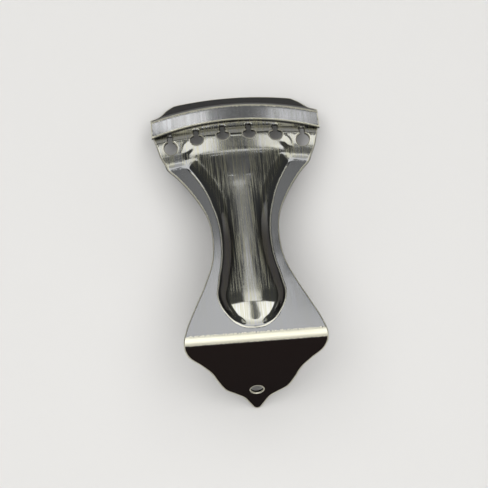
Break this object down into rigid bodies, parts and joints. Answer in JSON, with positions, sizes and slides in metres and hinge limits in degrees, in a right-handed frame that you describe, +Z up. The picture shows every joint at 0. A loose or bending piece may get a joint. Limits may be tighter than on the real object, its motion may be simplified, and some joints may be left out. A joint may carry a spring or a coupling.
{
  "type": "guitar tailpiece",
  "caption": "Pressed sheet-metal guitar tailpiece: hourglass plate with a raised tongue, keyholes and a curved bar for the strings, and a folded end flange with a screw hole.",
  "frame": {"origin": "on the table, under the middle of the part's outline seen from above", "axes": "+Z up from the table, +Y from the end flange towards the string bar, +X to the right seen from the flange's end"},
  "size_m": [0.0664, 0.1262, 0.0417],
  "materials": {
    "plated_sheet": "steel sheet with dark antiqued nickel-bronze plating, brushed lengthwise and lacquered, cut edges burnished pale",
    "plated_bar": "steel strip with dark antiqued nickel-bronze plating, brushed along the strip and lacquered, cut edges burnished pale"
  },
  "bodies": {
    "root": {"stamped_plate": "plated_sheet", "string_bar": "plated_bar"}
  },
  "joints": []
}
